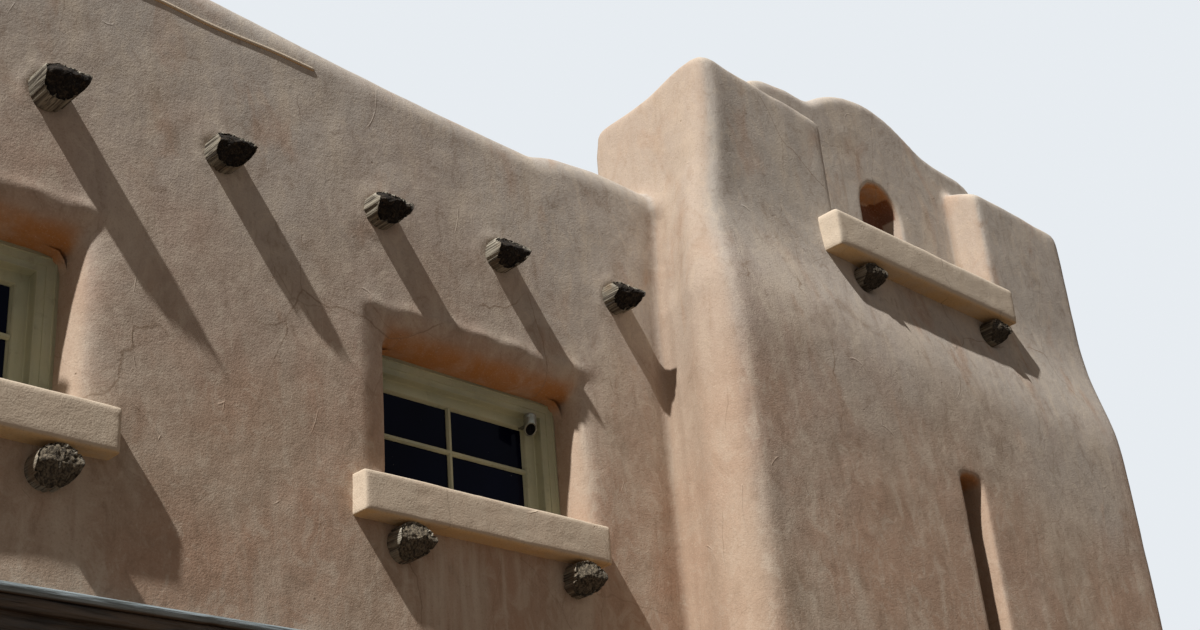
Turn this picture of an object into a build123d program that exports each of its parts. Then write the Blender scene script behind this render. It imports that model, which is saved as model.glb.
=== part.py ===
"""Adobe house of two storeys: a wing with projecting roof logs and a battered tower with a curved gable.

Millimetres, +Z up. The origin is on the ground, under the middle of the wing's front face.
The front looks along -Y, the wing's front face is the plane Y = 0 and the tower stands forward of it.
"""
import os

from build123d import *

os.makedirs("parts", exist_ok=True)

OVER = 300                # how far a cutting shape runs past what it cuts

# Overall plan
WALL = 450                # thickness of every adobe wall
DEPTH = 5400              # wing front face to back face
WING_LEFT = -6500         # outer face of the end wall
TOWER_RIGHT = 6550        # outer face of the tower's right wall
TOWER_FRONT = -660        # the tower's front face at the ground
WAIST_BACK, TOP_BACK = 25, 170          # how far it stands back under and over the shoulder
TOWER_FRONT_WAIST = TOWER_FRONT + WAIST_BACK
TOWER_FRONT_TOP = TOWER_FRONT + TOP_BACK
CORNER = 180              # rounding of the tower's front corners

# Levels
GROUND_FLOOR = 100
UPPER_FLOOR = 3550        # top of the upper floor
UPPER_FLOOR_THICK = 200
LOG_OVER_FLOOR = 2440
LOG_LEVEL = UPPER_FLOOR + LOG_OVER_FLOOR   # centre of the roof logs
LOG_R, LOG_FLATS = 100, 16
DECK_THICK = 350
DECK_TOP = LOG_LEVEL + LOG_R + DECK_THICK  # the piers and the gable start here
SHOULDER_DROP, SHOULDER_RISE, SHOULDER_BEND = 520, 110, 2000   # from the deck to its foot and its top
SHOULDER_FOOT, SHOULDER_TOP = DECK_TOP - SHOULDER_DROP, DECK_TOP + SHOULDER_RISE
BACK_PARAPET = 480
BACK_CREST = DECK_TOP + BACK_PARAPET
PARAPET_ROUND = 170       # rounding of the parapets and of the wing's upright corners

# The tower's left face, and the wing's parapet crest: X, and Z over the deck
TOWER_LEFT_X = (2190, 2250, 2335)
TOWER_LEFT_RISE = (-440, 460)
TOWER_LEFT = list(zip(TOWER_LEFT_X, (0, DECK_TOP + TOWER_LEFT_RISE[0], DECK_TOP + TOWER_LEFT_RISE[1])))
PARAPET = [(WING_LEFT, 520), (-5300, 570), (-4000, 545), (-2600, 580), (-1500, 560), (-790, 522), (-270, 472),
           (340, 428), (1330, 392), (1520, 446), (1850, 477), (2400, 472)]
CREST = [(x, DECK_TOP + rise) for x, rise in PARAPET]

# Upper windows, placed by the middle of the plaster opening
WINDOW_X = [-5044, -2084, 876]
BACK_WINDOW_X = [-4100, 0, 4100]
SILL_OVER_FLOOR, OPENING_TALL = 984, 766
SILL_LEVEL = UPPER_FLOOR + SILL_OVER_FLOOR
HEAD_LEVEL = SILL_LEVEL + OPENING_TALL
OPENING_HALF = 635
REVEAL = 210              # wall face to window frame
HEAD_ROUND, RIGHT_ROUND = 165, 190   # rounding of the plaster over and right of the opening
LEFT_SPLAY = (170, 45)    # the plaster left of it turns in over this width, to this depth
FRAME_HID = (97, 7)       # how far the plaster covers the frame on its left and right
FRAME_LEFT, FRAME_RIGHT = -OPENING_HALF - FRAME_HID[0], OPENING_HALF + FRAME_HID[1]
FRAME_THICK = 120
FRAME_STEPS = [(0, 0.35, 0), (0.35, 0.55, 30), (0.55, 1, 72)]   # share of the way to the glass, and set-back
FRAME_SIDE, FRAME_FOOT, FRAME_HEAD = 174, 135, 149
GLASS_LEFT, GLASS_RIGHT = FRAME_LEFT + FRAME_SIDE, FRAME_RIGHT - FRAME_SIDE
GLASS_BOTTOM, GLASS_TOP = SILL_LEVEL + FRAME_FOOT, HEAD_LEVEL - FRAME_HEAD
GLASS_SET, GLASS_THICK = 92, 8

# Sill beams and the log corbels under them, from each window's middle
SILL_ENDS = [(-860, 780), (-850, 826), (-894, 714)]
SILL_DROP = 220
SILL_PROUD = 95
SILL_ROUND = 25
CORBEL_R = 95
CORBEL_PROUD = 150
CORBEL_DEEP = 200
CORBEL_WEAR = (60, 110)   # how far the worn wedge of an end runs back over and under its edge
CORBEL_X = [(-640, 560), (-620, 544), (-606, 518)]

# Roof logs
LOG_X = [-5160, -4280, -3400, -2520, -1648, -755, 180, 993, 1878]
LOG_OUT = [155, 180, 160, 175, 200, 160, 165, 155, 155]
LOG_BACK_OUT = 160
LOG_WEAR = (130, 112)

# Piers, gable and balcony beam of the tower
PIER_WIDTHS = (1320, 1225)
LEFT_PIER_IN, RIGHT_PIER_IN = TOWER_LEFT_X[0] + PIER_WIDTHS[0], TOWER_RIGHT - PIER_WIDTHS[1]
GABLE_FOOT_RISE = 368
GABLE_FOOT = DECK_TOP + GABLE_FOOT_RISE
PIER_RISES = (828, 907)
LEFT_PIER_TOP, RIGHT_PIER_TOP = GABLE_FOOT + PIER_RISES[0], GABLE_FOOT + PIER_RISES[1]
PIER_ROUND, PIER_EDGE = 60, 72
GABLE_SET, GABLE_THICK = 250, 300
GABLE_FRONT = TOWER_FRONT_TOP + GABLE_SET
GABLE_BACK = GABLE_FRONT + GABLE_THICK
GABLE_BEARING = (380, 435)   # how far it runs into the piers
GABLE_LEFT, GABLE_RIGHT = LEFT_PIER_IN - GABLE_BEARING[0], RIGHT_PIER_IN + GABLE_BEARING[1]
GABLE_LINE = [(GABLE_LEFT, 1067), (3270, 1125), (3640, 1167), (4437, 1566), (5171, 1238), (5600, 1217),
              (GABLE_RIGHT, 1152)]
GABLE_CREST = [(x, GABLE_FOOT + rise) for x, rise in GABLE_LINE]
GABLE_BENDS = [110, 300, 700, 1050, 700, 300, 110]
GABLE_ROUND = 70
NICHE_X, NICHE_R, NICHE_DEEP, NICHE_BEVEL = 4440, 205, 210, 20
NICHE_RISES = (152, 517)
NICHE_FOOT, NICHE_SPRING = GABLE_FOOT + NICHE_RISES[0], GABLE_FOOT + NICHE_RISES[1]
BEAM_LAPS = (198, -15)       # how far the beam runs past the piers' inner faces
BEAM_LEFT, BEAM_RIGHT = LEFT_PIER_IN - BEAM_LAPS[0], RIGHT_PIER_IN + BEAM_LAPS[1]
BEAM_DROP, BEAM_PROUD = 268, 145
BEAM_FRONT = TOWER_FRONT_TOP - BEAM_PROUD
BEAM_CORBEL_IN = (170, 230)   # from the piers' inner faces
BEAM_CORBEL_X = (LEFT_PIER_IN + BEAM_CORBEL_IN[0], RIGHT_PIER_IN - BEAM_CORBEL_IN[1])
BEAM_ROUND = 30
BEAM_CORBEL_R, BEAM_CORBEL_PROUD = 90, 15
SLIT_X, SLIT_HALF, SLIT_OVER_FLOOR, SLIT_TALL = 4320, 100, 490, 1150
SLIT_FOOT = UPPER_FLOOR + SLIT_OVER_FLOOR
SLIT_TOP = SLIT_FOOT + SLIT_TALL
SLIT_ROUND = 30
SIDE_SLIT_Y = 2700

# Wide ground-floor opening with its timber head
PORTAL_X, PORTAL_HALF, PORTAL_TOP = -2045, 1700, 3400
PORTAL_ROUND = 60
LINTEL_BEARING, LINTEL_TALL, LINTEL_DEEP, LINTEL_PROUD = 240, 268, 300, 25
LINTEL_TOP = PORTAL_TOP + LINTEL_TALL
BOARD_OVER, BOARD_THICK, BOARD_PROUD = 40, 44, 85

# Sensor tube on the last window's sash: from the glass's edge, out from the sash and down from the opening's head
TUBE_IN, TUBE_OUT, TUBE_R, TUBE_TALL, TUBE_DROP = 16, 84, 39, 117, 88
TUBE_X = GLASS_RIGHT - TUBE_IN
TUBE_TOP = HEAD_LEVEL - TUBE_DROP
TUBE_BOTTOM = TUBE_TOP - TUBE_TALL


def block(x, y, z, mode=Mode.ADD):
    """A box between two limits on each axis."""
    with Locations(((x[0] + x[1]) / 2, (y[0] + y[1]) / 2, (z[0] + z[1]) / 2)):
        Box(x[1] - x[0], y[1] - y[0], z[1] - z[0], mode=mode)


def round_corner(x, y, z, r, sides):
    """Cut an upright corner at x, y round between two levels; sides are the signs of X and Y out of the solid."""
    in_x, in_y = x - sides[0] * r, y - sides[1] * r
    with BuildPart() as corner:
        block(sorted((in_x, x + sides[0] * OVER)), sorted((in_y, y + sides[1] * OVER)), z)
        with Locations((in_x, in_y, sum(z) / 2)):
            Cylinder(r, z[1] - z[0], mode=Mode.SUBTRACT)
    return corner.part


def hewn_log(x, z, r, y0, y1, wear=()):
    """A log along Y, hewn to many flats, whose front end may be weathered to a blunt wedge with a level edge."""
    with BuildPart() as log:
        with BuildSketch(Plane.XZ.offset(-y0)):
            with Locations((x, z)):
                RegularPolygon(r, LOG_FLATS, major_radius=False, rotation=180 / LOG_FLATS)
        extrude(amount=y0 - y1)
        for side, back in zip((1, -1), wear):
            split(bisect_by=Plane(origin=(x, y0, z), z_dir=(0, -r, side * back)), keep=Keep.BOTTOM)
    return log.part


def place(where, side):
    """Where a window pattern goes on the front, the back or the left end wall."""
    if side == "back":
        return Location((where, DEPTH, 0), (0, 0, 180))
    if side == "end":
        return Location((WING_LEFT, where, 0), (0, 0, -90))
    return Location((where, 0, 0))


def save(part, name):
    part.label = name
    export_step(part, f"parts/{name}.step")


FRONT_WINDOWS = [(x, "front") for x in WINDOW_X]
BACK_WINDOWS = [(x, "back") for x in BACK_WINDOW_X]
END_WINDOWS = [(DEPTH / 2, "end")]

# Window patterns around X = 0 of a wall whose outer face is Y = 0.
# The plaster is splayed on the left and rolls in on the right and over the head, and the rolls meet in a mitre.
splay_left = -OPENING_HALF - LEFT_SPLAY[0]
with BuildPart() as reveal_pattern:
    with BuildSketch(Plane.XY.offset(SILL_LEVEL)):
        with BuildLine():
            RadiusArc((OPENING_HALF, RIGHT_ROUND), (OPENING_HALF + RIGHT_ROUND, 0), RIGHT_ROUND)
            Polyline((OPENING_HALF + RIGHT_ROUND, 0), (OPENING_HALF + RIGHT_ROUND, -OVER), (splay_left, -OVER),
                     (splay_left, 0), (-OPENING_HALF, LEFT_SPLAY[1]), (-OPENING_HALF, REVEAL + 1),
                     (OPENING_HALF, REVEAL + 1), (OPENING_HALF, RIGHT_ROUND))
        make_face()
    extrude(amount=HEAD_LEVEL - SILL_LEVEL + HEAD_ROUND)
    with BuildSketch(Plane.YZ.offset(splay_left)):
        with BuildLine():
            Polyline((HEAD_ROUND, HEAD_LEVEL), (REVEAL + 1, HEAD_LEVEL), (REVEAL + 1, SILL_LEVEL),
                     (-OVER, SILL_LEVEL), (-OVER, HEAD_LEVEL + HEAD_ROUND), (0, HEAD_LEVEL + HEAD_ROUND))
            RadiusArc((0, HEAD_LEVEL + HEAD_ROUND), (HEAD_ROUND, HEAD_LEVEL), -HEAD_ROUND)
        make_face()
    extrude(amount=OPENING_HALF + RIGHT_ROUND - splay_left, mode=Mode.INTERSECT)
    block((FRAME_LEFT, FRAME_RIGHT), (REVEAL, WALL + OVER), (SILL_LEVEL, HEAD_LEVEL))


def frame_box(t, y, mode=Mode.ADD):
    """A box whose outline lies the fraction t of the way from the frame's outer edge to its glass."""
    block((FRAME_LEFT + t * (GLASS_LEFT - FRAME_LEFT), FRAME_RIGHT + t * (GLASS_RIGHT - FRAME_RIGHT)), y,
          (SILL_LEVEL + t * (GLASS_BOTTOM - SILL_LEVEL), HEAD_LEVEL + t * (GLASS_TOP - HEAD_LEVEL)), mode=mode)


with BuildPart() as frame_pattern:
    for outer, inner, set_back in FRAME_STEPS:
        frame_box(outer, (REVEAL + set_back, REVEAL + FRAME_THICK))
        frame_box(inner, (REVEAL - OVER, REVEAL + FRAME_THICK + OVER), mode=Mode.SUBTRACT)

with BuildPart() as glass_pattern:
    frame_box(1, (REVEAL + GLASS_SET, REVEAL + GLASS_SET + GLASS_THICK))


def sill_beam(ends):
    """A plastered beam under a window, its front edges worn round."""
    with BuildPart() as sill:
        block(ends, (-SILL_PROUD, 0), (SILL_LEVEL - SILL_DROP, SILL_LEVEL))
        fillet(sill.faces().sort_by(Axis.Y)[0].edges(), SILL_ROUND)
    return sill.part


def corbel_pair(centres, worn=True):
    """Two log ends that carry a sill beam."""
    with BuildPart() as pair:
        for x in centres:
            add(hewn_log(x, SILL_LEVEL - SILL_DROP - CORBEL_R, CORBEL_R, -CORBEL_PROUD, CORBEL_DEEP,
                         CORBEL_WEAR if worn else ()))
    return pair.part


def set_out(places, solids):
    """Solids of the window patterns at their places, for one node."""
    with BuildPart() as node:
        for (where, side), solid in zip(places, solids):
            add(solid.moved(place(where, side)))
    return node.part


def cut_windows(places):
    """Cut the windows of one wall."""
    for where, side in places:
        add(reveal_pattern.part.moved(place(where, side)), mode=Mode.SUBTRACT)


# Outer mass of the tower, cut below into its walls and piers
mass_top = max(LEFT_PIER_TOP, RIGHT_PIER_TOP) + OVER
mass_x = (TOWER_LEFT[0][0] - OVER, TOWER_RIGHT + OVER)
mass_front = TOWER_FRONT - OVER
with BuildPart() as tower_mass:
    with BuildSketch(Plane.XZ.offset(-mass_front)):
        with BuildLine():
            Polyline(*TOWER_LEFT, (TOWER_LEFT[-1][0], mass_top), (TOWER_RIGHT, mass_top), (TOWER_RIGHT, 0),
                     TOWER_LEFT[0])
        make_face()
    extrude(amount=mass_front - DEPTH + WALL)
    with BuildSketch(Plane.YZ.offset(mass_x[0])):
        with BuildLine():
            FilletPolyline((TOWER_FRONT, 0), (TOWER_FRONT_WAIST, SHOULDER_FOOT), (TOWER_FRONT_TOP, SHOULDER_TOP),
                           (TOWER_FRONT_TOP, mass_top), radius=SHOULDER_BEND)
            Polyline((TOWER_FRONT_TOP, mass_top), (DEPTH, mass_top), (DEPTH, 0), (TOWER_FRONT, 0))
        make_face()
    extrude(amount=mass_x[1] - mass_x[0], mode=Mode.INTERSECT)
    fillet(tower_mass.edges().filter_by(lambda e: e.center().Y < TOWER_FRONT_TOP + 5
                                        and abs(e.tangent_at(0.5).Z) > 0.7), CORNER)

# Roof logs, from in front of the wing to behind it
logs = [hewn_log(x, LOG_LEVEL, LOG_R, -out, DEPTH + LOG_BACK_OUT, LOG_WEAR)
        for x, out in zip(LOG_X, LOG_OUT)]

# Wing, front wall
front_corbels = [corbel_pair(c).moved(place(x, "front")) for x, c in zip(WINDOW_X, CORBEL_X)]
with BuildPart() as wing_front_wall:
    with BuildSketch(Plane.XZ):
        with BuildLine():
            Polyline(*CREST, (CREST[-1][0], 0), (WING_LEFT, 0), CREST[0])
        make_face()
    extrude(amount=-WALL)
    fillet(wing_front_wall.edges().filter_by(
        lambda e: e.center().Z > DECK_TOP and (e.center().Y < 1 or e.center().X < WING_LEFT + 1)
        and abs(e.tangent_at(0.5).Z) < 0.7), PARAPET_ROUND)
    add(round_corner(WING_LEFT, 0, (-OVER, mass_top), PARAPET_ROUND, (-1, -1)), mode=Mode.SUBTRACT)
    add(tower_mass.part, mode=Mode.SUBTRACT)
    cut_windows(FRONT_WINDOWS)
    block((PORTAL_X - PORTAL_HALF, PORTAL_X + PORTAL_HALF), (-OVER, WALL + OVER), (-OVER, PORTAL_TOP),
          mode=Mode.SUBTRACT)
    fillet(wing_front_wall.edges().filter_by(Axis.Z).filter_by(
        lambda e: abs(e.length - PORTAL_TOP) < 1 and e.center().Y < 1), PORTAL_ROUND)
    block((PORTAL_X - PORTAL_HALF - LINTEL_BEARING, PORTAL_X + PORTAL_HALF + LINTEL_BEARING),
          (-OVER, LINTEL_DEEP), (PORTAL_TOP, LINTEL_TOP), mode=Mode.SUBTRACT)
    for solid in (*logs, *front_corbels):
        add(solid, mode=Mode.SUBTRACT)
save(wing_front_wall.part, "wing_front_wall")

# Wing, left end wall
end_corbels = corbel_pair(CORBEL_X[1], worn=False).moved(place(*END_WINDOWS[0]))
with BuildPart() as end_wall:
    block((WING_LEFT, WING_LEFT + WALL), (WALL, DEPTH - WALL), (0, BACK_CREST))
    fillet(end_wall.edges().filter_by(Axis.Y).group_by(Axis.Z)[-1].sort_by(Axis.X)[0], PARAPET_ROUND)
    cut_windows(END_WINDOWS)
    add(end_corbels, mode=Mode.SUBTRACT)
save(end_wall.part, "wing_end_wall")

# Back wall of the wing and the tower
back_corbels = [corbel_pair(CORBEL_X[1], worn=False).moved(place(*w)) for w in BACK_WINDOWS]
with BuildPart() as back_wall:
    block((WING_LEFT, TOWER_RIGHT), (DEPTH - WALL, DEPTH), (0, BACK_CREST))
    fillet(back_wall.faces().sort_by(Axis.Z)[-1].edges().filter_by(lambda e: e.center().Y > DEPTH - WALL + 1),
           PARAPET_ROUND)
    for x, side in ((WING_LEFT, -1), (TOWER_RIGHT, 1)):
        add(round_corner(x, DEPTH, (-OVER, mass_top), PARAPET_ROUND, (side, 1)), mode=Mode.SUBTRACT)
    cut_windows(BACK_WINDOWS)
    for solid in (*logs, *back_corbels):
        add(solid, mode=Mode.SUBTRACT)
save(back_wall.part, "back_wall")

# Tower walls
beam_corbels = [hewn_log(x, GABLE_FOOT - BEAM_DROP - BEAM_CORBEL_R, BEAM_CORBEL_R,
                         BEAM_FRONT - BEAM_CORBEL_PROUD, TOWER_FRONT + WALL, CORBEL_WEAR) for x in BEAM_CORBEL_X]

with BuildPart() as tower_front_wall:
    add(tower_mass.part)
    block(mass_x, (mass_front, TOWER_FRONT + WALL), (0, DECK_TOP), mode=Mode.INTERSECT)
    block((SLIT_X - SLIT_HALF, SLIT_X + SLIT_HALF), (mass_front, 0), (SLIT_FOOT, SLIT_TOP), mode=Mode.SUBTRACT)
    fillet(tower_front_wall.edges().filter_by(
        lambda e: e.center().Y < TOWER_FRONT_TOP and abs(e.center().X - SLIT_X) < SLIT_HALF + 1
        and SLIT_FOOT - 1 < e.center().Z < SLIT_TOP + 1), SLIT_ROUND)
    for corbel in beam_corbels:
        add(corbel, mode=Mode.SUBTRACT)
save(tower_front_wall.part, "tower_front_wall")

with BuildPart() as tower_left_wall:
    add(tower_mass.part)
    block((mass_x[0], TOWER_LEFT[0][0] + WALL), (TOWER_FRONT + WALL, WALL), (0, DECK_TOP), mode=Mode.INTERSECT)
save(tower_left_wall.part, "tower_left_wall")

with BuildPart() as tower_right_wall:
    add(tower_mass.part)
    block((TOWER_RIGHT - WALL, mass_x[1]), (TOWER_FRONT + WALL, DEPTH - WALL), (0, BACK_CREST), mode=Mode.INTERSECT)
    block((TOWER_RIGHT - WALL - OVER, mass_x[1]), (mass_front, WALL), (DECK_TOP, BACK_CREST + OVER),
          mode=Mode.SUBTRACT)
    fillet(tower_right_wall.edges().group_by(Axis.Z)[-1].sort_by(Axis.X)[-1], PARAPET_ROUND)
    block((TOWER_RIGHT - WALL - OVER, mass_x[1]), (SIDE_SLIT_Y - SLIT_HALF, SIDE_SLIT_Y + SLIT_HALF),
          (SLIT_FOOT, SLIT_TOP), mode=Mode.SUBTRACT)
save(tower_right_wall.part, "tower_right_wall")


def pier(inner, side, top, name):
    """A solid corner pier of the tower; side is the sign of X from its inner face to the middle of the tower."""
    with BuildPart() as node:
        add(tower_mass.part)
        block(sorted((inner, mass_x[0 if side > 0 else 1])), (mass_front, WALL), (DECK_TOP, top),
              mode=Mode.INTERSECT)
        add(round_corner(inner, TOWER_FRONT_TOP, (GABLE_FOOT, mass_top), PIER_EDGE, (side, -1)), mode=Mode.SUBTRACT)
        fillet(node.edges().group_by(Axis.Z)[-1], PIER_ROUND)
    save(node.part, name)
    return node.part


left_pier = pier(LEFT_PIER_IN, 1, LEFT_PIER_TOP, "left_pier")
right_pier = pier(RIGHT_PIER_IN, -1, RIGHT_PIER_TOP, "right_pier")

# Solid ledge between the piers, behind the balcony beam
with BuildPart() as ledge:
    add(tower_mass.part)
    block((LEFT_PIER_IN, RIGHT_PIER_IN), (mass_front, GABLE_BACK), (DECK_TOP, GABLE_FOOT), mode=Mode.INTERSECT)

with BuildPart() as curved_gable:
    with BuildSketch(Plane.XZ.offset(-GABLE_FRONT)):
        with BuildLine():
            FilletPolyline((GABLE_LEFT, DECK_TOP), *GABLE_CREST, (GABLE_RIGHT, DECK_TOP), radius=GABLE_BENDS)
            Line((GABLE_RIGHT, DECK_TOP), (GABLE_LEFT, DECK_TOP))
        make_face()
    extrude(amount=GABLE_FRONT - GABLE_BACK)
    for rim, trim in ((0, fillet), (-1, chamfer)):
        trim(curved_gable.faces().filter_by(Axis.Y).sort_by(Axis.Y)[rim].edges().filter_by(
            lambda e: e.center().Z > DECK_TOP + 1), GABLE_ROUND)
    with BuildSketch(Plane.XZ.offset(-GABLE_FRONT)):
        with Locations((NICHE_X, (NICHE_SPRING + NICHE_FOOT) / 2)):
            Rectangle(2 * NICHE_R, NICHE_SPRING - NICHE_FOOT)
        with Locations((NICHE_X, NICHE_SPRING)):
            Circle(NICHE_R)
    extrude(amount=-NICHE_DEEP, mode=Mode.SUBTRACT)
    chamfer(curved_gable.edges().filter_by(lambda e: abs(e.center().Y - GABLE_FRONT) < 1 and
                                          abs(e.center().X - NICHE_X) < NICHE_R + 1 and
                                          NICHE_FOOT + 5 < e.center().Z < NICHE_SPRING + NICHE_R + 1), NICHE_BEVEL)
    add(ledge.part)
    for solid in (left_pier, right_pier, *beam_corbels):
        add(solid, mode=Mode.SUBTRACT)
save(curved_gable.part, "curved_gable")

with BuildPart() as balcony_beam:
    block((BEAM_LEFT, BEAM_RIGHT), (BEAM_FRONT, TOWER_FRONT_TOP), (GABLE_FOOT - BEAM_DROP, GABLE_FOOT))
    fillet(balcony_beam.faces().sort_by(Axis.Y)[0].edges(), BEAM_ROUND)
    add(tower_mass.part, mode=Mode.SUBTRACT)
save(balcony_beam.part, "balcony_beam")
for corbel, side in zip(beam_corbels, ("left", "right")):
    save(corbel, f"balcony_corbel_{side}")

# Floors and roof
room_x = (WING_LEFT + WALL, TOWER_RIGHT - WALL)
alcove_x = (TOWER_LEFT[0][0] + WALL, TOWER_RIGHT - WALL)
for name, z in (("ground_floor", (0, GROUND_FLOOR)),
                ("upper_floor", (UPPER_FLOOR - UPPER_FLOOR_THICK, UPPER_FLOOR)),
                ("roof_deck", (LOG_LEVEL + LOG_R, DECK_TOP))):
    with BuildPart() as floor:
        block(room_x, (WALL, DEPTH - WALL), z)
        block(alcove_x, (TOWER_FRONT + WALL, WALL), z)
    save(floor.part, name)

# Timber head of the wide opening
with BuildPart() as lintel:
    block((PORTAL_X - PORTAL_HALF - LINTEL_BEARING, PORTAL_X + PORTAL_HALF + LINTEL_BEARING),
          (-LINTEL_PROUD, LINTEL_DEEP), (PORTAL_TOP, LINTEL_TOP))
    chamfer(lintel.edges().filter_by(Axis.X).group_by(Axis.Y)[0].sort_by(Axis.Z)[0], 20)
save(lintel.part, "portal_lintel")

with BuildPart() as board:
    half = PORTAL_HALF + LINTEL_BEARING + BOARD_OVER
    block((PORTAL_X - half, PORTAL_X + half), (-BOARD_PROUD, 0), (LINTEL_TOP, LINTEL_TOP + BOARD_THICK))
    chamfer(board.edges().filter_by(Axis.X).group_by(Axis.Y)[0].sort_by(Axis.Z)[-1], 12)
save(board.part, "drip_board")

# Windows, sill beams and corbels
for number, (where, ends) in enumerate(zip(FRONT_WINDOWS, SILL_ENDS), 1):
    save(set_out([where], [frame_pattern.part]), f"window_{number}_frame")
    save(set_out([where], [glass_pattern.part]), f"window_{number}_glass")
    save(set_out([where], [sill_beam(ends)]), f"window_{number}_sill_beam")
plain = BACK_WINDOWS + END_WINDOWS
save(set_out(plain, [frame_pattern.part] * 4), "plain_side_window_frames")
save(set_out(plain, [glass_pattern.part] * 4), "plain_side_window_glass")
save(set_out(plain, [sill_beam(SILL_ENDS[1])] * 4), "plain_side_sill_beams")

with BuildPart() as front_sill_corbels:
    for pair in front_corbels:
        add(pair)
save(front_sill_corbels.part, "front_sill_corbels")
with BuildPart() as plain_side_corbels:
    for pair in (*back_corbels, end_corbels):
        add(pair)
save(plain_side_corbels.part, "plain_side_sill_corbels")

sash_y = REVEAL + FRAME_STEPS[-1][2]
with BuildPart() as sensor_tube:
    with BuildSketch(Plane.XY.offset(TUBE_BOTTOM)):
        with Locations((WINDOW_X[2] + TUBE_X, sash_y - TUBE_OUT)):
            Circle(TUBE_R)
    extrude(amount=TUBE_TOP - TUBE_BOTTOM)
    block((WINDOW_X[2] + GLASS_RIGHT + 3, WINDOW_X[2] + TUBE_X + TUBE_R * 0.9), (sash_y - TUBE_OUT, sash_y),
          (TUBE_BOTTOM + 40, TUBE_TOP - 30))
save(sensor_tube.part, "sensor_tube")

for number, roof_log in enumerate(logs, 1):
    save(roof_log, f"roof_log_{number:02d}")
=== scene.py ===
"""Adobe house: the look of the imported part, with a plastered skin, weathered logs and old window frames.

Metres, in the part's own frame: the origin is on the ground under the wing's front face,
and the front looks along -Y.
"""
import math

import bmesh
import bpy
import numpy as np
from mathutils import Matrix, Vector


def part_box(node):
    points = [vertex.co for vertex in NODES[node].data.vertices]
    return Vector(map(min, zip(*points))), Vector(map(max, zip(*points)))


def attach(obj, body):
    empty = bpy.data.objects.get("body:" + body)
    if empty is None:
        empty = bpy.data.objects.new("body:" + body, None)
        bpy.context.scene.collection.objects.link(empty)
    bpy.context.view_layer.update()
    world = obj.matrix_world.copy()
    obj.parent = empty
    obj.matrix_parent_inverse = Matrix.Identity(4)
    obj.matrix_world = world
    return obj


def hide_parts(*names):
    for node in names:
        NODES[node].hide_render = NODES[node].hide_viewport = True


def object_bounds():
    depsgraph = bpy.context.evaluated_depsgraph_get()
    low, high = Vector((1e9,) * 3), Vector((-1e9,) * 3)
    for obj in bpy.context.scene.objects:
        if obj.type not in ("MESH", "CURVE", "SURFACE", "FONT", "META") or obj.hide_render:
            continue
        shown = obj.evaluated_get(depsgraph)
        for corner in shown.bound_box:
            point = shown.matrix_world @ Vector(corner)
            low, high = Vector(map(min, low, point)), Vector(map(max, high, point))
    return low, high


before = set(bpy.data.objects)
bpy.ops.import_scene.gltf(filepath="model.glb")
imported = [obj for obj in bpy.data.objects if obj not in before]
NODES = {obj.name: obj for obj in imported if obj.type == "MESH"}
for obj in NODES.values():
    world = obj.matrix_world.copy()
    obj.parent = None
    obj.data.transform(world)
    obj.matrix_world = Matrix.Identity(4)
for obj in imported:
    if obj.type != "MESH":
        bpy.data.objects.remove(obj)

CAD_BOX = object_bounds()
SCENE = bpy.context.scene

# Sizes that the new pieces share with the part, in metres
WALL, DEPTH, WING_LEFT = 0.450, 5.400, -6.500
REVEAL, SILL, HEAD, OPENING_HALF = 0.210, 4.534, 5.300, 0.635
FRAME_X, FRAME_Z = (-0.732, 0.642), (SILL, HEAD)
GLASS_X, GLASS_Z = (-0.558, 0.468), (4.669, 5.151)
SILL_DROP, SILL_PROUD = 0.220, 0.095
CORBEL_R, CORBEL_PROUD, CORBEL_DEEP, CORBEL_WEAR = 0.095, 0.150, 0.200, (0.060, 0.110)
LOG_LEVEL, LOG_R, LOG_WEAR, LOG_BACK_OUT = 5.990, 0.100, (0.130, 0.112), 0.160
LOG_X = [-5.160, -4.280, -3.400, -2.520, -1.648, -0.755, 0.180, 0.993, 1.878]
LOG_OUT = [0.155, 0.180, 0.160, 0.175, 0.200, 0.160, 0.165, 0.155, 0.155]
LINTEL_X, LINTEL_Z, LINTEL_DEEP = (-3.985, -0.105), (3.400, 3.668), 0.300

# Windows: middle, sill beam ends and corbel places
FRONT_WINDOWS = [(-5.044, (-0.860, 0.780), (-0.640, 0.560)), (-2.084, (-0.850, 0.826), (-0.620, 0.544)),
                 (0.876, (-0.894, 0.714), (-0.606, 0.518))]
BACK_WINDOWS = (-4.1, 0.0, 4.1)
END_WINDOW = 2.7

# Colours; some are also painted light: the two underside colours are painted shade and bounce light, the warm
# colour is painted shade on the sunlit side, and the earth colour also paints shade into creases
TAN, GREY, PINK = (0.445, 0.345, 0.265), (0.47, 0.443, 0.405), (0.43, 0.295, 0.215)
PALE, UNDERSIDE_SHADE, EARTH_AND_CREASE_SHADE = (0.60, 0.525, 0.43), (0.40, 0.18, 0.065), (0.235, 0.165, 0.115)
UNDERSIDE_BOUNCE_LIGHT, CREAM, SUN_SIDE_SHADE = (0.66, 0.45, 0.23), (0.62, 0.53, 0.415), (0.44, 0.315, 0.225)


# Arrays of points

def hashed(i, j, k, seed):
    """Even pseudo-random numbers from 0 to 1 for the corners of a whole-number grid."""
    n = (i * 73856093 ^ j * 19349663 ^ k * 83492791 ^ seed * 265443576) & 0xFFFFFFFF
    n = ((n ^ (n >> 15)) * 2246822519) & 0xFFFFFFFF
    n = ((n ^ (n >> 13)) * 3266489917) & 0xFFFFFFFF
    return ((n ^ (n >> 16)) & 0xFFFFFF) / 0xFFFFFF


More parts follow.
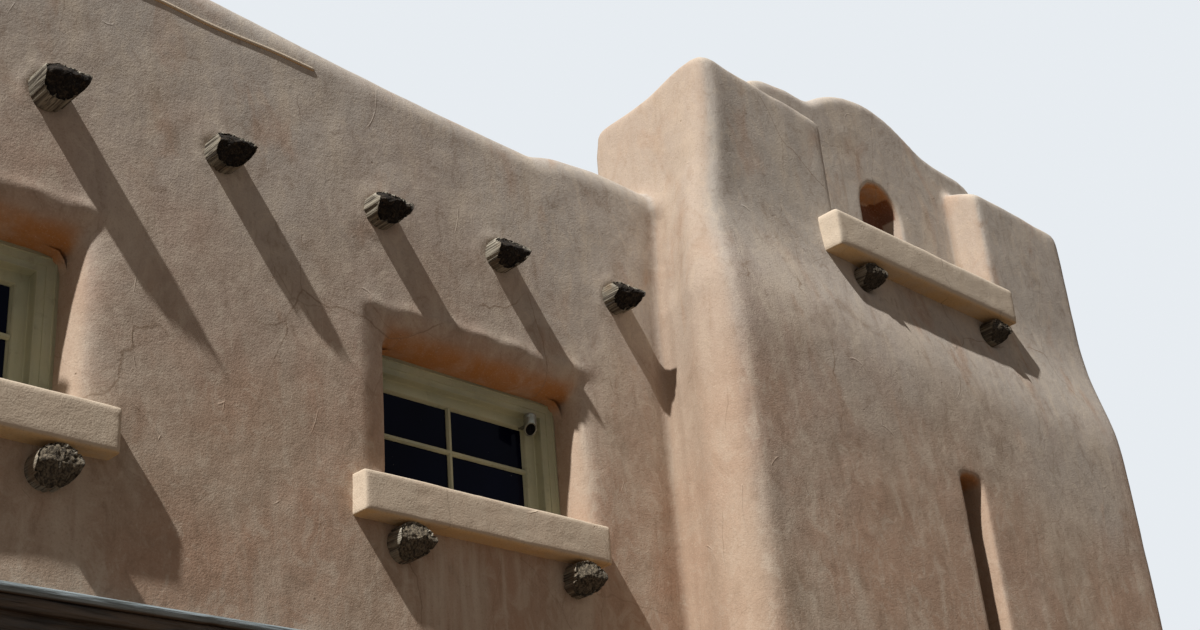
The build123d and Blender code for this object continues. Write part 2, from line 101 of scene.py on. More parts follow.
def noise(p, size, seed=0):
    """Smooth random values from -1 to 1 that change over about size metres, one size or one per axis."""
    q = p / np.asarray(size, float)
    cell = np.floor(q).astype(np.int64)
    f = q - cell
    f = f * f * f * (f * (f * 6 - 15) + 10)
    total = np.zeros(len(p))
    for corner in range(8):
        step = (corner & 1, corner >> 1 & 1, corner >> 2)
        share = np.ones(len(p))
        for axis in range(3):
            share = share * (f[:, axis] if step[axis] else 1 - f[:, axis])
        total += share * hashed(*(cell[:, a] + step[a] for a in range(3)), seed)
    return 2 * total - 1


def layered(p, size, layers, seed=0):
    """Layers of noise, each half as large and half as strong as the one before."""
    return sum(noise(p, np.asarray(size, float) / 2 ** n, seed + n) / 2 ** n for n in range(layers))


def ease(value, low, high):
    """A soft step from 0 at low to 1 at high; low may be the larger."""
    t = np.clip((value - low) / (high - low), 0, 1)
    return t * t * (3 - 2 * t)


def hump(value, middle, width):
    return np.exp(-((value - middle) / width) ** 2)


class Form:
    """The points of a mesh as arrays, to smooth, shape and paint them."""

    def __init__(self, mesh):
        self.mesh = mesh
        count = len(mesh.vertices)
        self.p = np.empty(count * 3)
        mesh.vertices.foreach_get("co", self.p)
        self.p = self.p.reshape(-1, 3)
        ends = np.empty(len(mesh.edges) * 2, np.int32)
        mesh.edges.foreach_get("vertices", ends)
        self.a, self.b = ends[::2], ends[1::2]
        links = np.bincount(self.a, minlength=count) + np.bincount(self.b, minlength=count)
        self.links = np.maximum(links, 1)

    def around(self, values):
        """The mean of values over each point's neighbours."""
        count = len(self.links)
        columns = values.reshape(count, -1).T
        sums = [np.bincount(self.a, c[self.b], count) + np.bincount(self.b, c[self.a], count)
                for c in columns]
        return (np.array(sums) / self.links).T.reshape(values.shape)

    def smooth(self, times, share=1.0):
        """Round the form; share is how far each point goes along."""
        share = np.reshape(np.asarray(share, float), (-1, 1)) * 0.6
        for _ in range(times):
            self.p += share * (self.around(self.p) - self.p)

    def store(self):
        self.mesh.vertices.foreach_set("co", self.p.ravel())
        self.mesh.update()

    def normals(self):
        self.store()
        out = np.empty(len(self.p) * 3, np.float32)
        self.mesh.vertex_normals.foreach_get("vector", out)
        return out.reshape(-1, 3).astype(float)

    def push(self, depth):
        """Move every point along its normal."""
        self.p += self.normals() * depth[:, None]
        low, high = (np.array(c) for c in CAD_BOX)
        self.p = np.clip(self.p, low + 0.0005, high - 0.0005)
        self.store()

    def paint(self, name, values):
        layer = self.mesh.attributes.new(name, "FLOAT", "POINT")
        layer.data.foreach_set("value", np.asarray(values, np.float32))

    def paint_edges(self, scale):
        """Paint how far each point stands out of its surroundings: high on worn, bleached edges and low in
        creases, which the plaster look paints as shade.
        """
        out = -((self.around(self.p) - self.p) * self.normals()).sum(1)
        for _ in range(5):
            out = self.around(out)
        self.paint("edge", np.clip(out / scale, -1, 1))


# Pieces

def add_piece(name, mesh, look, slot, *nodes):
    """A finished piece: its material, the body that it rides on and the nodes that it stands for."""
    mesh.materials.clear()
    mesh.materials.append(look.material)
    piece = bpy.data.objects.new(name, mesh)
    SCENE.collection.objects.link(piece)
    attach(piece, "root")
    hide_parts(*nodes)


def add_box(bm, low, high, matrix=Matrix()):
    low, high = Vector(low), Vector(high)
    bmesh.ops.create_cube(bm, size=1, matrix=matrix @ Matrix.LocRotScale((low + high) / 2, None, high - low))


def add_prism(bm, outline, low, high, matrix):
    """A prism over a convex outline of X and Y, from low to high Z."""
    rings = [[bm.verts.new(matrix @ Vector((x, y, z))) for x, y in outline] for z in (low, high)]
    faces = [bm.faces.new(rings[0]), bm.faces.new(rings[1][::-1])]
    for n in range(len(outline)):
        faces.append(bm.faces.new((rings[0][n - 1], rings[1][n - 1], rings[1][n], rings[0][n])))
    bmesh.ops.recalc_face_normals(bm, faces=faces)


def remeshed(bm, cell, name):
    """One closed mesh of even cells around everything in bm."""
    mesh = bpy.data.meshes.new(name)
    bm.to_mesh(mesh)
    bm.free()
    source = bpy.data.objects.new(name, mesh)
    SCENE.collection.objects.link(source)
    modifier = source.modifiers.new("cells", "REMESH")
    modifier.mode, modifier.voxel_size, modifier.use_smooth_shade = "VOXEL", cell, True
    bpy.context.view_layer.update()
    result = bpy.data.meshes.new_from_object(source.evaluated_get(bpy.context.evaluated_depsgraph_get()))
    bpy.data.objects.remove(source)
    return result


class Builder:
    """Grids of points joined into one mesh, with painted values."""

    def __init__(self, *paints):
        self.points, self.faces, self.count = [], [], 0
        self.paints = {name: [] for name in paints}

    def grid(self, rows, **paints):
        """Quads over rows of points, each row a ring whose end joins its start."""
        rows = np.asarray(rows, float)
        high, wide = rows.shape[:2]
        index = self.count + np.arange(high * wide).reshape(high, wide)
        index = np.hstack([index, index[:, :1]])
        quads = np.stack([index[:-1, :-1], index[:-1, 1:], index[1:, 1:], index[1:, :-1]], -1).reshape(-1, 4)
        self.points.append(rows.reshape(-1, 3))
        self.faces.append(quads)
        self.count += high * wide
        for name, stored in self.paints.items():
            stored.append(np.broadcast_to(paints.get(name, 0.0), (high, wide)).reshape(-1))

    def mesh(self, name, smooth=True):
        mesh = bpy.data.meshes.new(name)
        mesh.from_pydata(np.vstack(self.points).tolist(), [], np.vstack(self.faces).tolist())
        for paint, stored in self.paints.items():
            layer = mesh.attributes.new(paint, "FLOAT", "POINT")
            layer.data.foreach_set("value", np.concatenate(stored).astype(np.float32))
        if smooth:
            mesh.shade_smooth()
        return mesh


# Materials

class Look:
    """A node material written as short calls. Sizes are in metres."""

    def __init__(self, name, **sockets):
        self.material = bpy.data.materials.new(name)
        self.material.use_nodes = True
        self.tree = self.material.node_tree
        self.shader = self.tree.nodes["Principled BSDF"]
        for key, value in sockets.items():
            self.shader.inputs[key.replace("_", " ")].default_value = value
        self.place = self.node("TexCoord").outputs["Object"]

    def node(self, kind, sockets=(), **settings):
        made = self.tree.nodes.new("ShaderNode" + kind)
        for key, value in settings.items():
            setattr(made, key, value)
        for key, value in dict(sockets).items():
            self.plug(value, made.inputs[key])
        return made

    def plug(self, value, socket):
        if isinstance(value, bpy.types.NodeSocket):
            self.tree.links.new(value, socket)
        elif isinstance(value, tuple) and socket.type == "RGBA":
            socket.default_value = (*value, 1)
        else:
            socket.default_value = value

    def stretch(self, scale, turn=(0, 0, 0)):
        """The place with its axes scaled, which makes a pattern long along the axes with small scales."""
        mapped = self.node("Mapping", {"Vector": self.place, "Scale": scale,
                                       "Rotation": tuple(math.radians(a) for a in turn)})
        return mapped.outputs[0]

    def noise(self, size, detail=3.0, rough=0.5, warp=0.0, place=None, kind="FBM"):
        return self.node("TexNoise", {"Vector": place or self.place, "Scale": 1 / size, "Detail": detail,
                                      "Roughness": rough, "Distortion": warp}, noise_type=kind).outputs[0]

    def cells(self, size, place=None, feature="DISTANCE_TO_EDGE"):
        return self.node("TexVoronoi", {"Vector": place or self.place, "Scale": 1 / size},
                         feature=feature).outputs["Distance"]

    def step(self, value, low, high, out_low=0.0, out_high=1.0):
        return self.node("MapRange", {0: value, 1: low, 2: high, 3: out_low, 4: out_high},
                         interpolation_type="SMOOTHSTEP").outputs[0]

    def math(self, kind, *values):
        return self.node("Math", dict(enumerate(values)), operation=kind).outputs[0]

    def mix(self, a, b, share):
        return self.node("Mix", {0: share, 6: a, 7: b}, data_type="RGBA").outputs[2]

    def attribute(self, name):
        return self.node("Attribute", attribute_name=name).outputs["Fac"]

    def axis(self, vector, letter):
        return self.node("SeparateXYZ", {0: vector}).outputs[letter]

    def facing(self, letter):
        return self.axis(self.node("NewGeometry").outputs["Normal"], letter)

    def bump(self, height, depth, under=None):
        sockets = {"Height": height, "Distance": depth, "Strength": 1.0}
        if under is not None:
            sockets["Normal"] = under
        return self.node("Bump", sockets).outputs[0]

    def finish(self, colour, roughness=None, normal=None):
        self.plug(colour, self.shader.inputs["Base Color"])
        if roughness is not None:
            self.plug(roughness, self.shader.inputs["Roughness"])
        if normal is not None:
            self.plug(normal, self.shader.inputs["Normal"])
        return self


def plaster_look():
    """Hand-trowelled mud plaster: blotches, streaks, bleached edges, cracks and sand, with painted light and
    shade: a grey high up that is partly painted sky light, shade on the sunlit side, in creases and in the
    niche, and warm shade and bounce light on undersides.
    """
    look = Look("adobe_plaster", Specular_IOR_Level=0.06)
    height = look.axis(look.place, "Z")
    edge = look.attribute("edge")
    wash = look.attribute("wash")
    shade = look.attribute("shade")

    # Greyer towards the top: partly the plaster's own tone, partly painted cool sky light on the upper walls.
    upper_grey_and_sky_light = look.step(look.math("ADD", height, look.math("MULTIPLY", look.noise(1.1, 3, 0.6), 3.0)), 5.6, 8.4)
    colour = look.mix(PINK, TAN, look.step(look.noise(1.0, 5, 0.6, 0.5), 0.40, 0.60))
    colour = look.mix(colour, GREY, look.math("MULTIPLY", upper_grey_and_sky_light, 0.85))
    tall = look.stretch((1, 1, 0.38))
    colour = look.mix(colour, PALE, look.step(look.noise(0.34, 6, 0.62, 0.5, tall), 0.48, 0.70, 0.0, 0.58))
    blush = look.noise(0.27, 5, 0.6, 0.6, look.stretch((1, 1, 0.5), (0, 0, 30)))
    colour = look.mix(colour, PINK, look.step(blush, 0.54, 0.72, 0.0, 0.55))
    colour = look.mix(colour, EARTH_AND_CREASE_SHADE, look.step(look.noise(0.46, 6, 0.66, 0.7), 0.52, 0.80, 0.0, 0.50))
    cloud = look.noise(0.10, 6, 0.68, 0.9, look.stretch((1, 1, 0.7), (0, 0, 50)))
    colour = look.mix(colour, PALE, look.step(cloud, 0.49, 0.64, 0.0, 0.40))
    colour = look.mix(colour, EARTH_AND_CREASE_SHADE, look.step(cloud, 0.47, 0.32, 0.0, 0.36))
    streaks = look.noise(0.10, 4, 0.6, 0.2, look.stretch((1, 1, 0.11)))
    colour = look.mix(colour, PALE, look.step(streaks, 0.54, 0.76, 0.0, 0.30))
    colour = look.mix(colour, EARTH_AND_CREASE_SHADE, look.step(streaks, 0.46, 0.24, 0.0, 0.26))
    rills = look.noise(0.11, 4, 0.55, 0.3, look.stretch((1, 1, 0.10)))
    washed = look.math("MULTIPLY", wash, look.step(rills, 0.42, 0.70))
    colour = look.mix(colour, PALE, look.math("MULTIPLY", washed, 0.75))
    # Painted shade: faces that look along -X, the side the sun falls on, are made darker and warmer.
    colour = look.mix(colour, SUN_SIDE_SHADE, look.step(look.facing("X"), -0.40, -0.85, 0.0, 0.50))
    colour = look.mix(colour, PALE, look.step(edge, 0.50, 1.0, 0.0, 0.45))
    colour = look.mix(colour, CREAM, look.step(shade, -0.3, -0.9, 0.0, 0.70))
    # Painted shade: points sunk into creases and inner corners are darkened with the earth colour.
    colour = look.mix(colour, EARTH_AND_CREASE_SHADE, look.step(edge, -0.35, -1.0, 0.0, 0.34))
    # Painted shade on faces that look down, tinted warm as light bounced from the ground; the lighter ochre,
    # where the plaster is washed as on the beams, is painted bounce light.
    under = look.step(look.facing("Z"), -0.18, -0.90)
    shaded_under_mask = look.math("MULTIPLY", under, look.step(look.noise(0.20, 5, 0.6, 0.5), 0.3, 0.6, 0.55, 1.0))
    colour = look.mix(colour, look.mix(UNDERSIDE_SHADE, UNDERSIDE_BOUNCE_LIGHT, look.step(wash, 0.6, 0.9)), shaded_under_mask)
    colour = look.mix(colour, (0.13, 0.030, 0.006), look.math("MULTIPLY", look.step(shade, 0.2, 0.9), 0.82))
    colour = look.mix(colour, EARTH_AND_CREASE_SHADE, look.math("MULTIPLY", look.step(
        look.math("ADD", height, look.math("MULTIPLY", look.noise(0.35, 4, 0.6), 0.5)), 0.75, 0.25), 0.65))

    swirl = look.node("TexNoise", {"Vector": look.place, "Scale": 2.6, "Detail": 4.0}).outputs["Color"]
    bent = look.node("VectorMath", {0: swirl, 1: (0.20, 0.20, 0.20), 2: look.place},
                     operation="MULTIPLY_ADD").outputs[0]
    net = look.cells(0.42, look.node("Mapping", {"Vector": bent, "Scale": (1, 1, 0.75)}).outputs[0])
    patchy = look.step(look.noise(1.5, 2), 0.52, 0.60, 0.0, 0.55)
    crack = look.math("MULTIPLY", look.step(net, 0.009, 0.002), patchy)
    tall_cells = look.node("Mapping", {"Vector": bent, "Scale": (1, 1, 0.42), "Location": (0.3, 0, 0.7)})
    long = look.cells(1.7, tall_cells.outputs[0])
    crack = look.math("MAXIMUM", crack, look.math("MULTIPLY", look.step(long, 0.0020, 0.0006),
                                                  look.step(look.noise(0.5, 3), 0.46, 0.58)))
    colour = look.mix(colour, EARTH_AND_CREASE_SHADE, look.math("MULTIPLY", crack, 0.60))
    sand = look.noise(0.010, 3, 0.75)
    colour = look.mix(colour, EARTH_AND_CREASE_SHADE, look.step(sand, 0.52, 0.74, 0.0, 0.42))
    colour = look.mix(colour, PALE, look.step(sand, 0.46, 0.28, 0.0, 0.30))
    pits = look.math("MULTIPLY", look.step(look.cells(0.16, None, "F1"), 0.055, 0.03),
                     look.step(look.noise(0.5, 2), 0.50, 0.56))
    colour = look.mix(colour, EARTH_AND_CREASE_SHADE, look.math("MULTIPLY", pits, 0.6))

    strokes = look.noise(0.30, 5, 0.5, 1.0, look.stretch((1, 1, 0.55), (0, 35, 0)), "RIDGED_MULTIFRACTAL")
    normal = look.bump(look.noise(0.20, 3, 0.5, 0.3), 0.005)
    strokes = look.math("MULTIPLY", strokes, look.step(look.noise(0.6, 2), 0.46, 0.66))
    normal = look.bump(strokes, 0.0014, normal)
    normal = look.bump(look.noise(0.030, 4, 0.6), 0.0016, normal)
    normal = look.bump(sand, 0.0022, normal)
    normal = look.bump(look.math("SUBTRACT", 1.0, pits), 0.0018, normal)
    rounds = look.node("TexVoronoi", {"Vector": look.stretch((1, 1, 0.6), (0, 20, 0)), "Scale": 1.9},
                       feature="F1").outputs["Distance"]
    rounds = look.math("FRACT", look.math("MULTIPLY", rounds, 3.0))
    arcs = look.math("ABSOLUTE", look.math("SUBTRACT", rounds, 0.5))
    ridge = look.math("MULTIPLY", look.step(arcs, 0.020, 0.0),
                      look.step(look.noise(0.33, 3, 0.6), 0.57, 0.63))
    normal = look.bump(ridge, 0.0016, normal)
    return look.finish(colour, look.step(look.noise(0.2, 3), 0.3, 0.7, 0.84, 0.96), normal)


def log_look():
    """Weathered timber along Y: silver-grey grooved sides, dark broken ends and a ragged rim painted pale on
    its upper side as a highlight.
    """
    look = Look("log_wood", Specular_IOR_Level=0.2)
    cut, rim, dry = look.attribute("cut"), look.attribute("rim"), look.attribute("dry")
    along = look.stretch((1, 0.05, 1))
    grain = look.noise(0.008, 4, 0.6, 0.3, along)
    coarse = look.noise(0.018, 3, 0.5, 0.4, along)
    side = look.mix((0.075, 0.062, 0.048), (0.27, 0.245, 0.195), look.step(coarse, 0.38, 0.60))
    side = look.mix(side, (0.055, 0.045, 0.035), look.step(grain, 0.46, 0.34))
    brown = look.math("MULTIPLY", look.step(look.noise(0.12, 3), 0.5, 0.7), 0.5)
    side = look.mix(side, (0.22, 0.155, 0.095), brown)
    rot = look.noise(0.020, 5, 0.65, 0.8)
    end = look.mix((0.010, 0.007, 0.005), (0.060, 0.045, 0.031), look.step(rot, 0.45, 0.72))
    end = look.mix(end, (0.20, 0.165, 0.12), look.step(look.noise(0.006, 3, 0.6), 0.60, 0.78, 0.0, 0.25))
    fibre = look.noise(0.010, 4, 0.6, 0.5, look.stretch((1, 1, 0.35), (0, 55, 0)))
    dry_end = look.mix((0.045, 0.036, 0.026), (0.21, 0.175, 0.125), look.step(fibre, 0.36, 0.64))
    end = look.mix(end, dry_end, dry)
    ragged = look.math("ADD", cut, look.math("MULTIPLY", look.noise(0.02), 0.3))
    colour = look.mix(side, end, look.step(ragged, 0.5, 0.75))
    # Painted highlight: the pale rim of each end, on its upper side.
    colour = look.mix(colour, (0.46, 0.425, 0.35), look.math("MULTIPLY", rim, look.step(grain, 0.4, 0.6)))
    normal = look.bump(coarse, 0.012)
    normal = look.bump(grain, 0.005, normal)
    normal = look.bump(look.math("MULTIPLY", rot, cut), 0.012, normal)
    return look.finish(colour, look.step(grain, 0.3, 0.7, 0.95, 0.78), normal)


def timber_look():
    """Old squared timber along X, grey on its weathered face and dark brown in its grain."""
    look = Look("old_timber", Specular_IOR_Level=0.25)
    along = look.stretch((0.04, 1, 1))
    grain = look.noise(0.012, 5, 0.6, 0.4, along)
    coarse = look.noise(0.05, 4, 0.55, 0.6, look.stretch((0.10, 1, 1)))
    weather = look.attribute("weather")
    dark = look.mix((0.030, 0.020, 0.014), (0.105, 0.068, 0.040), look.step(coarse, 0.35, 0.65))
    grey = look.mix((0.145, 0.17, 0.175), (0.32, 0.385, 0.42), look.step(grain, 0.35, 0.62))
    worn = look.step(look.noise(0.10, 4, 0.6, 0.5, along), 0.25, 0.5, 0.6, 1.0)
    colour = look.mix(dark, grey, look.math("MULTIPLY", weather, worn))
    colour = look.mix(colour, (0.012, 0.010, 0.008), look.step(grain, 0.40, 0.28))
    normal = look.bump(coarse, 0.010)
    normal = look.bump(grain, 0.004, normal)
    return look.finish(colour, look.step(grain, 0.3, 0.7, 0.92, 0.72), normal)


def frame_look():
    """Cream-green oil paint on old joinery, chalky, dusty on ledges and worn thin along its arrises."""
    look = Look("painted_frame", Specular_IOR_Level=0.35)
    faded = look.step(look.noise(0.35, 4, 0.55, 0.5), 0.35, 0.65)
    colour = look.mix((0.42, 0.42, 0.28), (0.33, 0.345, 0.24), faded)
    grime = look.step(look.noise(0.05, 5, 0.65, 0.6), 0.56, 0.78, 0.0, 0.55)
    colour = look.mix(colour, (0.225, 0.215, 0.15), grime)
    streak = look.noise(0.020, 4, 0.6, 0.2, look.stretch((1, 1, 0.10)))
    colour = look.mix(colour, (0.47, 0.46, 0.33), look.step(streak, 0.56, 0.75, 0.0, 0.5))
    chips = look.math("MULTIPLY", look.step(look.noise(0.010, 4, 0.7), 0.66, 0.72),
                      look.step(look.noise(0.12), 0.5, 0.62))
    colour = look.mix(colour, (0.23, 0.18, 0.125), look.math("MULTIPLY", chips, 0.8))
    normal = look.bump(look.noise(0.030, 4, 0.55, 0.3, look.stretch((1, 1, 0.25))), 0.003)
    normal = look.bump(look.noise(0.004, 2), 0.0007, normal)
    normal = look.bump(look.math("SUBTRACT", 1.0, chips), 0.0012, normal)
    return look.finish(colour, look.step(look.noise(0.08, 3), 0.3, 0.7, 0.50, 0.72), normal)


def glass_look():
    """Old window glass, not clear but painted near-black as the shade of the room behind it, faintly blue,
    with dust specks and a slight waviness.
    """
    look = Look("window_glass", Specular_IOR_Level=0.02, IOR=1.45)
    dust = look.step(look.cells(0.05, None, "F1"), 0.055, 0.02)
    dust = look.math("MULTIPLY", dust, look.step(look.noise(0.11, 2), 0.56, 0.60))
    # Painted shade: the near-black colour stands for the dark room behind the glass.
    colour = look.mix((0.001, 0.001, 0.004), (0.003, 0.005, 0.022), look.noise(0.4, 2))
    colour = look.mix(colour, (0.35, 0.36, 0.36), look.math("MULTIPLY", dust, 0.8))
    rough = look.math("ADD", look.step(look.noise(0.15, 4, 0.6), 0.4, 0.7, 0.03, 0.10),
                      look.math("MULTIPLY", dust, 0.5))
    return look.finish(colour, rough, look.bump(look.noise(0.30, 2), 0.004))


def metal_look():
    """Grey painted metal with fine orange peel, dust on top and small scratches."""
    look = Look("grey_metal", Metallic=0.35, Specular_IOR_Level=0.5)
    colour = look.mix((0.25, 0.255, 0.205), (0.18, 0.185, 0.15), look.noise(0.05, 4, 0.6))
    dusty = look.math("MULTIPLY", look.step(look.facing("Z"), 0.3, 0.9), 0.5)
    colour = look.mix(colour, (0.36, 0.33, 0.28), dusty)
    scratches = look.noise(0.012, 3, 0.7, 0.0, look.stretch((1, 1, 0.2)))
    colour = look.mix(colour, (0.42, 0.43, 0.42), look.step(scratches, 0.66, 0.74, 0.0, 0.5))
    normal = look.bump(look.noise(0.003, 2), 0.0004)
    return look.finish(colour, look.step(look.noise(0.03, 3), 0.3, 0.7, 0.34, 0.55), normal)


def dark_look():
    """A shallow dish in the tube's mouth: painted matt black as the shade of the hollow inside, with dust at
    its mouth.
    """
    look = Look("tube_inside", Specular_IOR_Level=0.1)
    colour = look.mix((0.006, 0.006, 0.007), (0.03, 0.028, 0.026), look.step(look.noise(0.01, 3), 0.5, 0.8))
    roughness = look.step(look.noise(0.02), 0.3, 0.7, 0.7, 0.9)
    return look.finish(colour, roughness, look.bump(look.noise(0.004), 0.0005))


def earth_look(name, light, dark, polish):
    """Packed earth: blotches, pebbles, hairline cracks and dust; polish is its lowest roughness."""
    look = Look(name, Specular_IOR_Level=0.2)
    colour = look.mix(dark, light, look.step(look.noise(0.9, 5, 0.6, 0.6), 0.35, 0.65))
    colour = look.mix(colour, dark, look.step(look.noise(0.18, 4, 0.6, 0.4), 0.52, 0.75, 0.0, 0.5))
    pebbles = look.cells(0.03, None, "F1")
    colour = look.mix(colour, light, look.step(pebbles, 0.30, 0.15, 0.0, 0.35))
    cracks = look.step(look.cells(0.55, look.stretch((1, 1, 1), (0, 0, 20))), 0.006, 0.0015)
    cracks = look.math("MULTIPLY", cracks, look.step(look.noise(0.8, 2), 0.45, 0.55))
    colour = look.mix(colour, dark, look.math("MULTIPLY", cracks, 0.8))
    normal = look.bump(look.noise(0.25, 4, 0.5), 0.02)
    normal = look.bump(look.step(pebbles, 0.4, 0.1), 0.003, normal)
    normal = look.bump(look.math("SUBTRACT", 1.0, cracks), 0.004, normal)
    return look.finish(colour, look.step(look.noise(0.3, 3), 0.3, 0.7, polish, 0.95), normal)


def boards_look():
    """Worn floor boards 0.18 m wide along X, each with its own tone, with open joints and grain."""
    look = Look("floor_boards", Specular_IOR_Level=0.3)
    across = look.math("DIVIDE", look.axis(look.place, "Y"), 0.18)
    number = look.math("FLOOR", across)
    within = look.math("ABSOLUTE", look.math("SUBTRACT", look.math("FRACT", across), 0.5))
    tone = look.node("TexWhiteNoise", {"W": number}, noise_dimensions="1D").outputs["Value"]
    shifted = look.node("CombineXYZ", {0: look.math("MULTIPLY", look.axis(look.place, "X"), 0.05),
                                       1: across, 2: look.math("MULTIPLY", number, 3.7)}).outputs[0]
    grain = look.noise(0.06, 5, 0.6, 0.8, shifted)
    colour = look.mix((0.20, 0.125, 0.070), (0.36, 0.245, 0.150), tone)
    colour = look.mix(colour, (0.13, 0.080, 0.045), look.step(grain, 0.45, 0.7, 0.0, 0.7))
    joint = look.step(within, 0.478, 0.490)
    colour = look.mix(colour, (0.015, 0.010, 0.008), joint)
    normal = look.bump(look.math("SUBTRACT", 1.0, joint), 0.006)
    normal = look.bump(grain, 0.0015, normal)
    return look.finish(colour, look.step(grain, 0.3, 0.7, 0.45, 0.75), normal)


PLASTER, LOG, TIMBER, FRAME = plaster_look(), log_look(), timber_look(), frame_look()
GLASS, METAL, DARK = glass_look(), metal_look(), dark_look()
ROOF = earth_look("earth_roof", (0.40, 0.325, 0.250), (0.33, 0.258, 0.192), 0.85)
FLOOR = earth_look("packed_floor", (0.33, 0.245, 0.180), (0.20, 0.140, 0.100), 0.40)
BOARDS = boards_look()


# Plastered walls, piers and gable as one skin

def window_matrix(where, side):
    """The place of a window: its middle at the outer face of the wall, X along it and Y into the house."""
    if side == "back":
        return Matrix.Translation((where, DEPTH, 0)) @ Matrix.Rotation(math.pi, 4, "Z")
    if side == "end":
        return Matrix.Translation((WING_LEFT, where, 0)) @ Matrix.Rotation(-math.pi / 2, 4, "Z")
    return Matrix.Translation((where, 0, 0))


FRONT = [(window_matrix(x, "front"), ends, corbels) for x, ends, corbels in FRONT_WINDOWS]
PLAIN = [(window_matrix(x, side), FRONT_WINDOWS[1][1], FRONT_WINDOWS[1][2])
         for x, side in [*((x, "back") for x in BACK_WINDOWS), (END_WINDOW, "end")]]
CORBEL_Z = SILL - SILL_DROP - CORBEL_R
WALL_NODES = ["wing_front_wall", "wing_end_wall", "back_wall", "tower_front_wall", "tower_left_wall",
              "tower_right_wall", "left_pier", "right_pier", "curved_gable"]

# The roll of plaster at the right of every window, in the window's own X and Y
JAMB_ROUND = 0.120
JAMB = [(OPENING_HALF + JAMB_ROUND * (1 - math.cos(t)), 0.004 + JAMB_ROUND * (1 - math.sin(t)))
        for t in np.linspace(0, math.pi / 2, 9)] + [(0.850, 0.004), (0.850, 0.207), (OPENING_HALF, 0.207)]

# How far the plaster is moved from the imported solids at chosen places, in metres
WINDOW_CORNER, TOWER_LEAN, CREASE = 0.030, 0.120, 0.022
PIER_RISE, PIER_CORNER, SHOULDER_RISE, COPING_RISE = 0.045, 0.030, 0.060, 0.062

# Cell sizes of the skin; the smoothing is stated for TUNED_CELL
NEAR_CELL, FAR_CELL, TUNED_CELL = 0.030, 0.058, 0.045


def wall_solids():
    """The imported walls, with the log holes closed so that the plaster meets the logs."""
    bm = bmesh.new()
    for name in WALL_NODES:
        bm.from_mesh(NODES[name].data)
    for x in LOG_X:
        for y in ((0.006, WALL - 0.006), (DEPTH - WALL + 0.006, DEPTH - 0.006)):
            add_box(bm, (x - 0.12, y[0], LOG_LEVEL - 0.12), (x + 0.12, y[1], LOG_LEVEL + 0.12))
    for matrix, _, corbels in FRONT + PLAIN:
        add_prism(bm, JAMB, SILL - 0.08, HEAD + 0.30, matrix)
        for x in corbels:
            add_box(bm, (x - 0.115, 0.006, CORBEL_Z - 0.115), (x + 0.115, 0.26, CORBEL_Z + 0.115), matrix)
    for name in ("balcony_corbel_left", "balcony_corbel_right"):
        low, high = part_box(name)
        add_box(bm, (low.x - 0.02, -0.47, low.z - 0.02), (high.x + 0.02, high.y + 0.05, high.z + 0.02))
    add_box(bm, (LINTEL_X[0] - 0.02, 0.014, LINTEL_Z[0] + 0.02),
            (LINTEL_X[1] + 0.02, 0.32, LINTEL_Z[1] + 0.02))
    return bm


def window_places(p, windows):
    """Each window's own coordinates of all points, in turn."""
    for matrix, _, _ in windows:
        back = np.array(matrix.inverted())
        yield p @ back[:3, :3].T + back[:3, 3]


def wall_dip(p):
    """How far the plaster of the wing's front lies behind its flat solid."""
    return 0.013 * (0.5 + 0.5 * noise(p, 1.25, 3)) + 0.005 * (0.5 + 0.5 * noise(p, 0.38, 5)) + 0.0015


